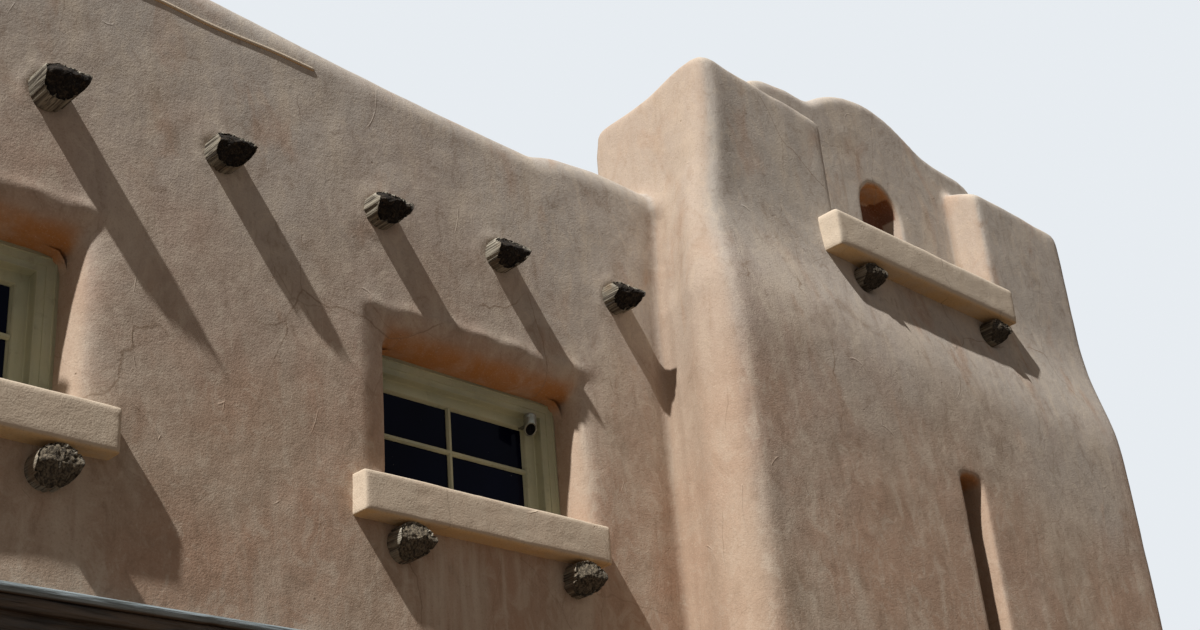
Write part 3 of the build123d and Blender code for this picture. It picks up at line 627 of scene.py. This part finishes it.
def shape_walls(form, cell):
    """Round the plaster as hands do, and give it its swells, dents, collars and stains, and the values for
    painted shade in its creases and its niche.
    """
    finer = (TUNED_CELL / cell) ** 2
    form.smooth(round(1.0 * finer))
    p = form.p
    tower = (p[:, 0] > 2.20) & (p[:, 1] < 0.5)
    left_top = ease(p[:, 0], 2.90, 2.60) * ease(p[:, 2], 7.35, 7.55)
    right_top = ease(p[:, 0], 5.90, 6.20) * ease(p[:, 2], 7.38, 7.58)
    form.smooth(round(4 * finer), tower * (left_top + right_top))
    p = form.p
    x, y, z = p.T
    # The upper right corner of each front window, kept open for its frame
    for matrix, _, _ in FRONT:
        a, b, c = (p - np.array(matrix.translation)).T
        corner = np.exp(-((a - OPENING_HALF) ** 2 + (c - HEAD) ** 2) / 0.050 ** 2)
        corner = corner * ease(b, 0.08, 0.16) * (b < 0.46)
        x += WINDOW_CORNER * corner
        z += WINDOW_CORNER * corner
    # The tower's left front corner, and the crease between the tower and the wing
    x -= TOWER_LEAN * ease(y, -0.05, -0.40) * ease(x, 3.10, 2.45) * ease(z, 7.60, 6.30)
    face = np.interp(z, (0, 6.0, 6.9), (2.19, 2.25, 2.335))
    fold = np.exp(-((x - face) ** 2 + y ** 2) / 0.085 ** 2) * ease(z, 6.78, 6.60)
    x += CREASE * fold
    y += CREASE * fold
    # The left pier's uneven top and its outer corner
    left_pier = tower * (x < 3.60) * (y < 0.47) * ease(z, 7.25, 7.60) * (z < 7.72)
    z += left_pier * (PIER_RISE * ease(x, 3.1, 2.45) - 0.030 * ease(x, 3.1, 3.5)) * ease(y, 0.05, -0.30)
    z -= PIER_RISE * left_pier * ease(y, -0.30, 0.35) * ease(x, 3.4, 2.5)
    corner = tower * np.exp(-((x - 2.335) ** 2 + (y + 0.49) ** 2) / 0.17 ** 2) * ease(z, 6.5, 7.3)
    x -= 0.032 * corner
    y -= PIER_CORNER * corner
    z += PIER_CORNER * corner * ease(z, 7.3, 7.6)
    # The piers' inner edges, the shoulder on the right pier and the gable's coping
    x += 0.028 * tower * ease(x, 3.30, 3.46) * (x < 3.54) * (y < -0.26) * (z > 6.75)
    x -= 0.022 * tower * ease(x, 5.50, 5.36) * (x > 5.30) * (y < -0.26) * (z > 6.75)
    y += 0.045 * tower * (x < 3.0) * ease(y, 0.20, 0.42) * (z > 6.5)
    z += (SHOULDER_RISE * ease(z, 7.45, 7.68) * ease(z, 7.95, 7.80) * ease(y, -0.47, -0.27)
          * ease(x, 5.62, 5.36) * (x > 5.24) * (y < 0.1))
    coping = tower * (y > -0.27) * (y < 0.10) * ease(z, 7.72, 7.86)
    z += coping * (COPING_RISE * ease(x, 3.82, 3.52) * (x > 3.05) - 0.018 * hump(x, 3.80, 0.12))
    normals = form.normals()
    depth = -wall_dip(p) - 0.0015 * noise(p, 0.15, 7)
    front = (np.abs(y) < 0.06) & (normals[:, 1] < -0.5)
    wash = np.zeros(len(p))
    # A collar of plaster and a bleached ring round each roof log
    for log_x in LOG_X:
        far = np.hypot(x - log_x, z - LOG_LEVEL)
        depth += front * 0.006 * hump(far, 0.120, 0.035) * (0.6 + 0.6 * noise(p, 0.08, 9))
        wash += front * 0.45 * ease(far, 0.34, 0.14) * (0.5 + 0.5 * noise(p, 0.15, 15))
    # A roll over each window and a bleached field under its sill
    for q in window_places(p, FRONT + PLAIN):
        over = (np.abs(q[:, 1]) < 0.10) * ease(q[:, 0], -0.86, -0.74) * ease(q[:, 0], 0.86, 0.70)
        depth += 0.007 * over * hump(q[:, 2], 5.475, 0.032) * (1 + noise(p, 0.12, 11))
        below = ease(q[:, 2], 3.3, 4.1) * (q[:, 2] < 4.33)
        wash += (np.abs(q[:, 1]) < 0.08) * ease(np.abs(q[:, 0]), 0.80, 0.62) * below
    form.push(depth)
    form.paint_edges(0.0055 / finer)
    form.paint("wash", np.clip(wash, 0, 1))
    x, y, z = form.p.T
    niche = (np.abs(x - 4.44) < 0.21) * (z > 6.88) * (z < 7.50) * (y < 0.0)
    form.paint("shade", niche * ease(y, -0.230, -0.185))


def wall_owner(c):
    """The number of the node that each face of the skin stands for, by the middle of the face."""
    x, y, z = c.T
    tower_top = (z > 6.44) & (x > 2.30) & (y < 0.455) & (y > -0.8)
    gable = tower_top & (((x > 3.51) & (x < 5.325) & (y < 0.075)) | ((z > 7.66) & (np.abs(y + 0.09) < 0.17)
                                                              & (x > 3.1) & (x < 5.8)))
    conditions = [gable, tower_top & (x < 4.4), tower_top, y > 4.95, x < -6.05, (x > 6.10) & (y > -0.21),
                  ((x > 2.18) | (y < -0.03)) & (x < 2.66) & (y > -0.21) & (y < 0.45) & (z < 6.44),
                  (x > 1.9) & (y < -0.20)]
    owners = ["curved_gable", "left_pier", "right_pier", "back_wall", "wing_end_wall", "tower_right_wall",
              "tower_left_wall", "tower_front_wall"]
    return np.select(conditions, [WALL_NODES.index(n) for n in owners], WALL_NODES.index("wing_front_wall"))


def seen_closely(c, inset=0.0):
    """Faces on the front of the wing and the tower and on their tops, which have the finer cells."""
    x, y, z = c.T
    front = (((y < 0.23 - inset) & (x < 2.50 - inset)) | (y < -0.25 - inset)
             | ((z > 6.30 + inset) & (y < 0.54 - inset)))
    return front & (z > 0.3 + inset) & (x > -6.4 + inset) & (x < 6.50 - inset)


def skin_faces(cell, wanted):
    """The wanted faces of the shaped skin at one cell size, as points, quads, normals and painted values."""
    form = Form(remeshed(wall_solids(), cell, "adobe"))
    shape_walls(form, cell)
    corners = np.empty(len(form.mesh.loops), np.int32)
    form.mesh.loops.foreach_get("vertex_index", corners)
    quads = corners.reshape(-1, 4)
    quads = quads[wanted(form.p[quads].mean(1))]
    paints = {}
    for name in ("edge", "wash", "shade"):
        paints[name] = np.empty(len(form.p), np.float32)
        form.mesh.attributes[name].data.foreach_get("value", paints[name])
    return form.p, quads, form.normals(), paints


def add_walls():
    """One piece for each wall node, whose shading runs on over the joints."""
    near = skin_faces(NEAR_CELL, seen_closely)
    far = skin_faces(FAR_CELL, lambda c: ~seen_closely(c, 0.06))
    points = np.vstack([near[0], far[0]])
    quads = np.vstack([near[1], far[1] + len(near[0])])
    normals = np.vstack([near[2], far[2]])
    owner = wall_owner(points[quads].mean(1))
    for number, node in enumerate(WALL_NODES):
        used, compact = np.unique(quads[owner == number], return_inverse=True)
        part = bpy.data.meshes.new(node + "_plaster")
        part.from_pydata(points[used].tolist(), [], compact.reshape(-1, 4).tolist())
        for name in ("edge", "wash", "shade"):
            values = np.concatenate([near[3][name], far[3][name]])[used]
            part.attributes.new(name, "FLOAT", "POINT").data.foreach_set("value", values)
        part.shade_smooth()
        part.normals_split_custom_set_from_vertices(normals[used].tolist())
        add_piece(node + "_plaster", part, PLASTER, "adobe_plaster", node)


add_walls()


# Plastered beams

def add_beam(name, boxes, cell, rounding, node, seed):
    """Plastered beams with worn, uneven edges; each box is its low and high corner and its matrix."""
    bm = bmesh.new()
    for low, high, matrix in boxes:
        add_box(bm, low, high, matrix)
    form = Form(remeshed(bm, cell, name))
    form.smooth(rounding)
    p = form.p
    chips = ease(layered(p, (0.16, 0.05, 0.05), 2, seed + 4), 0.45, 0.95)
    form.push(-0.003 * (1 + noise(p, 0.30, seed)) - 0.0008 * (1 + noise(p, 0.07, seed + 2)) - 0.0015 * chips)
    form.paint_edges(0.0022)
    # The beams are fully washed: bleached streaks, and lighter ochre undersides as painted bounce light.
    form.paint("wash", np.ones(len(p)))
    form.paint("shade", -np.ones(len(p)))
    add_piece(name, form.mesh, PLASTER, "adobe_plaster", node)


def sill_box(matrix, ends):
    return ((ends[0], -SILL_PROUD, SILL - SILL_DROP), (ends[1], 0.05, SILL), matrix)


for number, (matrix, ends, _) in enumerate(FRONT, 1):
    add_beam(f"window_{number}_sill_beam_plaster", [sill_box(matrix, ends)], 0.016, 2,
             f"window_{number}_sill_beam", 20 + number)
add_beam("plain_side_sill_beams_plaster", [sill_box(m, ends) for m, ends, _ in PLAIN], 0.026, 2,
         "plain_side_sill_beams", 30)
beam_low, beam_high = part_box("balcony_beam")
add_beam("balcony_beam_plaster", [(tuple(beam_low), (beam_high.x, -0.44, beam_high.z), Matrix())],
         0.020, 3, "balcony_beam", 40)


# Logs

def add_log(builder, x, z, r, front, back, wear, seed, matrix=Matrix(), dry=0.0):
    """One log along Y with split sides and broken ends; wear is how far the end's wedge runs back."""
    around = 96
    angle = np.linspace(0, 2 * math.pi, around, endpoint=False)
    out = np.stack([np.cos(angle), np.zeros(around), np.sin(angle)], 1)

    def ring(share, y):
        """Points round the log at a share of its radius, with splits along the grain."""
        on = out * r + np.stack([np.zeros(around), np.broadcast_to(y, around), np.zeros(around)], 1)
        on = on + (x, 0, z + seed)
        split = ease(noise(on, (0.020, 0.30, 0.020), seed), 0.30, 0.75) * 0.010
        split += ease(np.abs(noise(on, (0.050, 0.50, 0.050), seed + 1)), 0.10, 0.0) * 0.014
        split += 0.005 * (1 + noise(on, (0.08, 0.4, 0.08), seed + 2))
        radius = (r - split) * share
        return np.stack([x + radius * out[:, 0], np.broadcast_to(y, around), z + radius * out[:, 2]], 1)

    def broken(points, edge):
        """How far the broken end lies behind its foremost line."""
        up = points[:, 2] - z
        reach = np.where(up > 0, wear[0], wear[1]) if wear else np.zeros(around)
        wedge = np.sqrt((reach * up / r) ** 2 + 0.014 ** 2) - 0.014 if wear else np.zeros(around)
        if wear:
            wedge = wedge + 0.042 * ease(x - points[:, 0], -0.2 * r, 1.1 * r)
        flat = points * (1, 0, 1) + (0, seed * 0.37, 0)
        tears = 0.010 * (1 + noise(flat, (0.012, 1, 0.012), seed))
        tears = tears + 0.013 * (1 + noise(flat, (0.045, 1, 0.045), seed + 5))
        tears = tears + 0.010 * ease(noise(flat, (0.008, 1, 0.025), seed + 6), 0.2, 0.8)
        return wedge + tears * (0.5 if edge else 1.0)

    def end(y, sign, worn):
        """Rows from the middle of an end to its rim, and the rim's Y."""
        rows = []
        for share in (0.02, 0.15, 0.28, 0.40, 0.52, 0.63, 0.73, 0.82, 0.90, 0.96, 1.0):
            row = ring(share, y)
            drop = broken(row, share == 1.0)
            if not worn:
                drop = 0.25 * drop if wear else drop * 0.4
            row[:, 1] = y + sign * drop
            rows.append(row)
        return rows

    first, last = end(front, 1, True), end(back, -1, False)[::-1]
    start, stop = first[-1][:, 1], last[0][:, 1]
    rows = list(first)
    steps = (0.004, 0.014, 0.03, 0.05, 0.075, 0.105, 0.14, 0.19, 0.25)
    length = back - front
    near = [s for s in steps if s < length * 0.45]
    rows += [ring(1.0, start + s * np.ones(around)) for s in near]
    rows += [ring(1.0, stop - s * np.ones(around)) for s in near[::-1]]
    rows += last
    rows = np.array(rows)
    high = len(rows)
    cut = np.zeros((high, around))
    cut[:len(first) - 1] = 1
    cut[high - len(last) + 1:] = 1
    # The pale rim is a painted highlight, strongest on the upper side where the light falls.
    rim = np.zeros((high, around))
    lit = ease(np.sin(angle), -0.2, 0.7)
    rim[len(first) - 2:len(first) + 2] = 0.9 * lit
    rim[high - len(last) - 2:high - len(last) + 2] = 0.9 * lit
    place = np.array(matrix)
    rows = rows @ place[:3, :3].T + place[:3, 3]
    builder.grid(rows, cut=cut, rim=rim, dry=dry)


def add_logs(name, node, logs, dry=0.0):
    """Logs that stand for one node; dry is how far their cut ends have gone from dark to pale brown."""
    builder = Builder("cut", "rim", "dry")
    for log in logs:
        add_log(builder, dry=dry, **log)
    add_piece(name, builder.mesh(name), LOG, "log_wood", node)


for number, (x, proud) in enumerate(zip(LOG_X, LOG_OUT), 1):
    add_logs(f"roof_log_{number:02d}_wood", f"roof_log_{number:02d}",
             [dict(x=x, z=LOG_LEVEL, r=LOG_R, front=-proud - 0.015, back=DEPTH + LOG_BACK_OUT,
                   wear=LOG_WEAR, seed=50 + number)])
for name, windows in (("front_sill_corbels", FRONT), ("plain_side_sill_corbels", PLAIN)):
    add_logs(name + "_wood", name, [
        dict(x=x, z=CORBEL_Z, r=CORBEL_R, front=-CORBEL_PROUD, back=CORBEL_DEEP,
             wear=CORBEL_WEAR if windows is FRONT else (), seed=70 + 3 * n + k, matrix=matrix)
        for n, (matrix, _, corbels) in enumerate(windows) for k, x in enumerate(corbels)], dry=0.85)
for side, seed in (("left", 90), ("right", 93)):
    low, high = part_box(f"balcony_corbel_{side}")
    add_logs(f"balcony_corbel_{side}_wood", f"balcony_corbel_{side}",
             [dict(x=(low.x + high.x) / 2, z=(low.z + high.z) / 2, r=(high.x - low.x) / 2,
                   front=low.y, back=high.y, wear=CORBEL_WEAR, seed=seed)], dry=0.35)


# Window frames with their mouldings and bars

# Moulding: share of the way from the frame's outer edge to the glass, and depth behind the reveal
MOULDING = [(-0.08, 0.118), (-0.08, 0.000), (0.02, 0.000), (0.035, -0.005), (0.070, -0.006), (0.085, 0.002),
            (0.30, 0.006), (0.305, 0.012), (0.50, 0.016), (0.515, 0.010), (0.535, 0.011), (0.545, 0.018),
            (0.55, 0.064), (0.57, 0.068), (0.90, 0.070), (0.935, 0.077), (0.94, 0.082), (0.99, 0.098),
            (1.0, 0.118), (-0.08, 0.118)]
BAR_HALF, BAR_FRONT, BAR_BACK = 0.014, 0.074, 0.112


def add_frames(name, node, windows):
    """The frames of some windows with their moulding and the two crossed glazing bars."""
    builder = Builder()
    for matrix, *_ in windows:
        place = np.array(matrix)

        def put(rows):
            builder.grid(np.asarray(rows) @ place[:3, :3].T + place[:3, 3])

        rings = []
        for share, deep in MOULDING:
            left, right = (FRAME_X[k] + share * (GLASS_X[k] - FRAME_X[k]) for k in (0, 1))
            low, high = (FRAME_Z[k] + share * (GLASS_Z[k] - FRAME_Z[k]) for k in (0, 1))
            low = max(low, FRAME_Z[0] - 0.004)
            corners = ((left, low), (right, low), (right, high), (left, high))
            rings.append([(a, REVEAL + deep, b) for a, b in corners])
        put(rings)
        middle = (sum(GLASS_X) / 2, sum(GLASS_Z) / 2)
        section = [(-BAR_HALF, 0.092), (-BAR_HALF, 0.086), (-0.009, BAR_FRONT + 0.004), (-0.007, BAR_FRONT),
                   (0.007, BAR_FRONT), (0.009, BAR_FRONT + 0.004), (BAR_HALF, 0.086), (BAR_HALF, 0.092),
                   (0.010, BAR_BACK), (-0.010, BAR_BACK)]
        put([[(middle[0] + a, REVEAL + b, end) for a, b in section]
             for end in (GLASS_Z[0] - 0.01, GLASS_Z[1] + 0.01)])
        put([[(end, REVEAL + b - 0.001, middle[1] - a) for a, b in section]
             for end in (GLASS_X[0] - 0.01, GLASS_X[1] + 0.01)])
    add_piece(name, builder.mesh(name, smooth=False), FRAME, "painted_frame", node)


for number, window in enumerate(FRONT, 1):
    add_frames(f"window_{number}_frame_joinery", f"window_{number}_frame", [window])
add_frames("plain_side_window_frames_joinery", "plain_side_window_frames", PLAIN)


# Sensor tube: a hood whose slanted mouth looks down and forward, on a bracket; its mouth is a shallow black
# dish, painted shade for the hollow inside

def add_tube():
    low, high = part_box("sensor_tube")
    x, y, r = FRONT_WINDOWS[2][0] + 0.452, REVEAL + 0.072 - 0.084, 0.036
    bottom, top = low.z, high.z
    turn = np.linspace(0, 2 * math.pi, 48, endpoint=False)
    slant = 0.024 * (1 - np.sin(turn + 0.55))

    def rings(profile):
        return [[(x + a * math.cos(t), y + a * math.sin(t), b + cut * lift) for t, lift in zip(turn, slant)]
                for a, b, cut in profile]

    shell, inside = Builder(), Builder()
    shell.grid(rings([(0.0005, top - 0.001, 0), (r * 0.60, top - 0.001, 0), (r * 0.86, top - 0.004, 0),
                      (r * 0.97, top - 0.011, 0), (r * 0.985, top - 0.020, 0), (r * 0.985, top - 0.026, 0),
                      (r * 0.955, top - 0.028, 0), (r * 0.955, top - 0.031, 0), (r * 0.985, top - 0.033, 0),
                      (r * 0.985, bottom + 0.012, 1), (r, bottom + 0.010, 1), (r, bottom + 0.001, 1),
                      (r * 0.97, bottom, 1), (r * 0.76, bottom, 1), (r * 0.72, bottom + 0.003, 1)]))
    for sx in (-0.010, 0.010):
        centre = (x + sx, y + r * 0.9, (bottom + top) / 2)
        shell.grid([[(centre[0] + a * math.cos(t), y + b, centre[2] + a * math.sin(t)) for t in turn[::4]]
                    for a, b in ((0.006, r * 0.8), (0.006, 0.083), (0.0001, 0.083))])
    # Painted shade: a shallow black dish in the mouth stands for the dark hollow of the tube.
    inside.grid(rings([(r * 0.72, bottom + 0.003, 1), (r * 0.70, bottom + 0.016, 1),
                       (r * 0.68, bottom + 0.020, 1), (r * 0.40, bottom + 0.024, 1),
                       (0.0005, bottom + 0.026, 1)]))
    add_piece("sensor_tube_shell", shell.mesh("sensor_tube_shell"), METAL, "grey_metal", "sensor_tube")
    add_piece("sensor_tube_inside", inside.mesh("sensor_tube_inside"), DARK, "grey_metal", "sensor_tube")


add_tube()


# Timber head of the doorway, drip board and the lath under the parapet

def add_timber(name, node, low, high, cell, rounding, seed, weathered=0.12):
    """A squared timber worn along its grain; weathered is how grey its front and its top are."""
    bm = bmesh.new()
    add_box(bm, low, high)
    form = Form(remeshed(bm, cell, name))
    form.smooth(rounding)
    p = form.p
    out = form.normals()[:, 1]
    depth = -0.004 * (1 + noise(p, (0.30, 0.10, 0.09), seed)) * 0.5
    depth -= 0.003 * ease(noise(p, (0.45, 0.014, 0.014), seed + 1), 0.1, 0.8)
    depth -= 0.008 * ease(noise(p, (0.16, 0.03, 0.03), seed + 2), 0.62, 0.95)
    form.push(depth)
    top = form.normals()[:, 2]
    form.paint("weather", np.clip(ease(out, -0.2, -0.8) + ease(top, 0.3, 0.9), 0, 1) * weathered)
    add_piece(name, form.mesh, TIMBER, "old_timber", node)


add_timber("portal_lintel_timber", "portal_lintel", (LINTEL_X[0], -0.024, LINTEL_Z[0]),
           (LINTEL_X[1], LINTEL_DEEP, LINTEL_Z[1]), 0.026, 2, 100)
board_low, board_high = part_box("drip_board")
add_timber("drip_board_timber", "drip_board", tuple(board_low), (board_high.x, 0.03, board_high.z),
           0.013, 1, 110, weathered=1.0)
add_timber("drip_board_fillet", "drip_board", (LINTEL_X[0] + 0.01, -0.062, 3.611),
           (LINTEL_X[1] - 0.01, 0.0, board_low.z + 0.006), 0.013, 1, 115)


def add_lath():
    """A pale lath along the wing under its parapet, with round ends, as part of the front wall."""
    ends = np.array([(-1.45, 0, 6.741), (-0.218, 0, 6.702)])
    turn = np.linspace(0, 2 * math.pi, 14, endpoint=False)
    long = np.linspace(0, 1, 60)
    shares = np.array([0, 0.0015, 0.005, *long[1:-1], 0.995, 0.9985, 1])
    middles = ends[0] + shares[:, None] * (ends[1] - ends[0])
    middles[:, 2] += 0.006 * np.sin(9 * shares) * shares * (1 - shares) * 4
    middles[:, 1] = wall_dip(middles) - 0.001
    rows = []
    for share, middle in zip(shares, middles):
        r = 0.011 * min(1, math.sqrt(min(share, 1 - share) / 0.007)) + 0.0001
        rows.append([middle + (0, 0.7 * r * math.cos(t), r * math.sin(t)) for t in turn])
    builder = Builder("edge", "wash", "shade")
    builder.grid(rows, edge=1.0, wash=1.0, shade=-1.0)
    add_piece("parapet_lath", builder.mesh("parapet_lath"), PLASTER, "adobe_plaster", "wing_front_wall")


add_lath()

for name, look in (("ground_floor", FLOOR), ("upper_floor", BOARDS), ("roof_deck", ROOF)):
    NODES[name].material_slots[0].material = look.material
for name in NODES:
    if name.endswith("glass"):
        NODES[name].material_slots[0].material = GLASS.material


# Stage, light and camera

def add_stage():
    """A plain floor wide enough for every view, a plain sky and one sun that falls as in the photo."""
    mesh = bpy.data.meshes.new("studio_floor")
    corners = [(-90, -90, -0.003), (90, -90, -0.003), (90, 90, -0.003), (-90, 90, -0.003)]
    mesh.from_pydata(corners, [], [(0, 1, 2, 3)])
    floor = bpy.data.objects.new("studio_floor", mesh)
    SCENE.collection.objects.link(floor)
    look = Look("studio_floor", Specular_IOR_Level=0.1, Roughness=0.95)
    seen = look.node("LightPath").outputs["Is Camera Ray"]
    look.plug(look.mix((0.12, 0.095, 0.075), (0.50, 0.495, 0.485), seen), look.shader.inputs["Base Color"])
    mesh.materials.append(look.material)

    world = bpy.data.worlds.new("studio")
    SCENE.world = world
    world.use_nodes = True
    tree = world.node_tree
    light = tree.nodes["Background"]
    light.inputs["Color"].default_value = (1.0, 0.90, 0.84, 1)
    light.inputs["Strength"].default_value = 0.18
    seen = tree.nodes.new("ShaderNodeBackground")
    seen.inputs["Color"].default_value = (0.80, 0.84, 0.88, 1)
    seen.inputs["Strength"].default_value = 1.0
    path = tree.nodes.new("ShaderNodeLightPath")
    seen_by = path.outputs["Is Camera Ray"]
    for kind in ("Is Glossy Ray", "Is Transmission Ray"):
        either = tree.nodes.new("ShaderNodeMath")
        either.operation = "MAXIMUM"
        tree.links.new(seen_by, either.inputs[0])
        tree.links.new(path.outputs[kind], either.inputs[1])
        seen_by = either.outputs[0]
    choose = tree.nodes.new("ShaderNodeMixShader")
    tree.links.new(seen_by, choose.inputs[0])
    tree.links.new(light.outputs[0], choose.inputs[1])
    tree.links.new(seen.outputs[0], choose.inputs[2])
    tree.links.new(choose.outputs[0], tree.nodes["World Output"].inputs[0])

    data = bpy.data.lights.new("key", "SUN")
    data.energy = 5.7
    data.angle = math.radians(1.1)
    data.color = (1.0, 0.975, 0.94)
    key = bpy.data.objects.new("key", data)
    SCENE.collection.objects.link(key)
    key.rotation_mode = "QUATERNION"
    key.rotation_quaternion = Vector((0.59, 0.152, -0.79)).to_track_quat("-Z", "Y")


def add_camera():
    """The photograph's viewpoint, fitted to its three sets of parallel edges."""
    right, up = Vector((0.71501067, -0.69451336, -0.07987768)), Vector((-0.25537861, -0.36583232, 0.89497115))
    data = bpy.data.cameras.new("camera")
    data.sensor_width, data.lens, data.clip_end = 36.0, 51.135, 400.0
    camera = bpy.data.objects.new("camera", data)
    SCENE.collection.objects.link(camera)
    matrix = Matrix((right, up, right.cross(up))).transposed().to_4x4()
    matrix.translation = (-4.56, -6.0, 1.6)
    camera.matrix_world = matrix
    SCENE.camera = camera


add_stage()
add_camera()
SCENE.view_settings.view_transform = "Standard"
